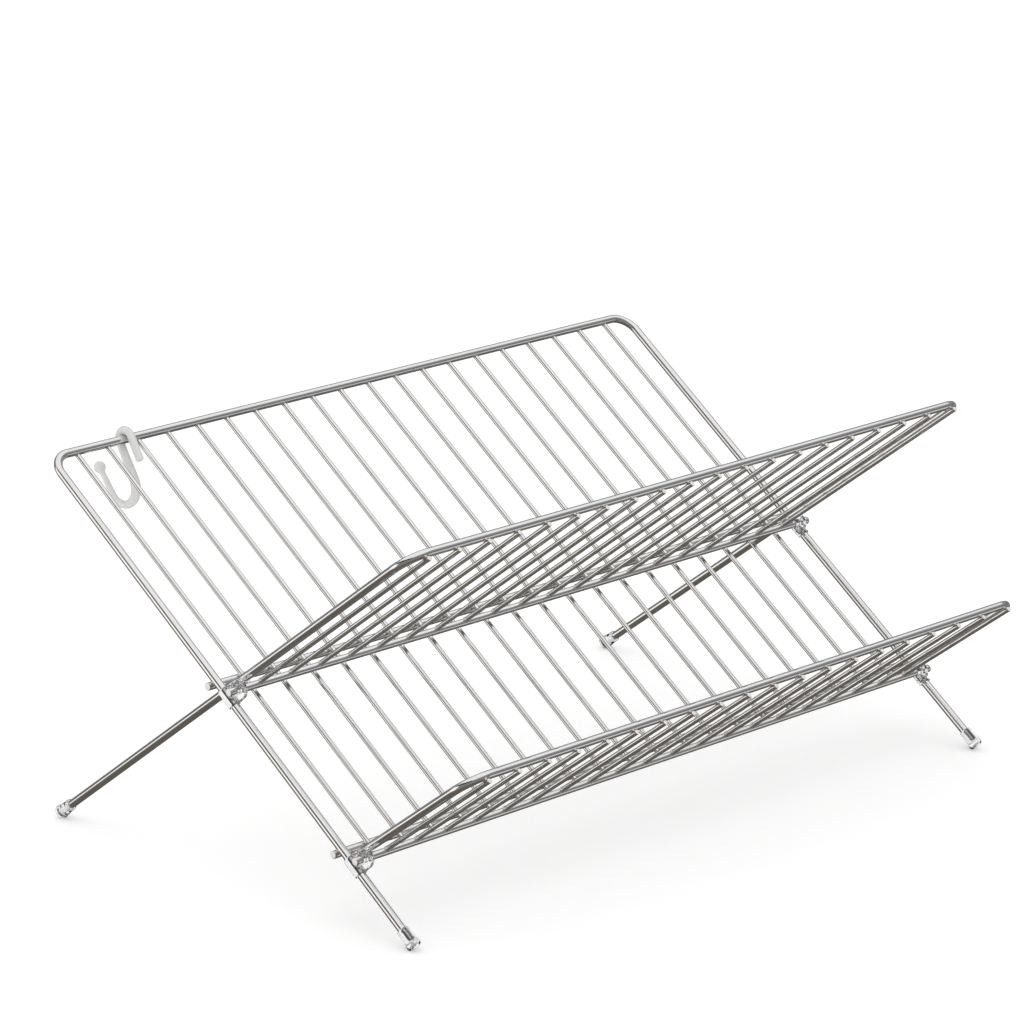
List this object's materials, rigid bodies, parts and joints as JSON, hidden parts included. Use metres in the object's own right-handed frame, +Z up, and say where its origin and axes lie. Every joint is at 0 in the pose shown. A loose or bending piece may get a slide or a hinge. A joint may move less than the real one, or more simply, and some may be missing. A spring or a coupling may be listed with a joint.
{
  "type": "dish drying rack",
  "caption": "Free-standing wire dish drying rack with a long sloping main panel, two folding wings that form an upper and a lower plate trough, and a hook for a cup.",
  "frame": {"origin": "centre of the bounding box at the surface that the rack stands on, with the rack open", "axes": "+X along the rack's length, with the cup hook at the -X end; -Y towards the front, where the lower trough is; +Z up"},
  "size_m": [0.5272, 0.3916, 0.2474],
  "materials": {
    "rail_chrome": "polished chrome plate on bent steel rail",
    "wire_chrome": "polished chrome plate on straight steel wire",
    "clear_plastic": "clear moulded plastic",
    "white_plastic": "glossy white moulded plastic"
  },
  "bodies": {
    "main_panel": {"main_frame": "rail_chrome", "main_wires": "wire_chrome", "upper_under_rod": "rail_chrome", "lower_under_rod": "rail_chrome", "upper_left_clip": "clear_plastic", "upper_right_clip": "clear_plastic", "lower_left_clip": "clear_plastic", "lower_right_clip": "clear_plastic", "front_left_foot_cap": "clear_plastic", "front_right_foot_cap": "clear_plastic"},
    "upper_wing": {"upper_wing_frame": "rail_chrome", "upper_wing_wires": "wire_chrome", "upper_cross_rod": "rail_chrome", "rear_left_foot_cap": "clear_plastic", "rear_right_foot_cap": "clear_plastic"},
    "lower_wing": {"lower_wing_frame": "rail_chrome", "lower_wing_wires": "wire_chrome", "lower_cross_rod": "rail_chrome"},
    "hook": {"cup_hook": "white_plastic"}
  },
  "joints": [
    {"name": "upper_wing_fold", "type": "hinge", "parent": "main_panel", "child": "upper_wing", "pos_m": [0, 0.00127, 0.12512], "axis": [1, 0, 0], "range_deg": [-97, 0]},
    {"name": "lower_wing_fold", "type": "hinge", "parent": "main_panel", "child": "lower_wing", "pos_m": [0, -0.10755, 0.04489], "axis": [1, 0, 0], "range_deg": [-105.5, 0]},
    {"name": "hook_swing", "type": "hinge", "parent": "main_panel", "child": "hook", "pos_m": [-0.197, 0.16675, 0.23911], "axis": [1, 0, 0], "range_deg": [-45, 60]}
  ]
}
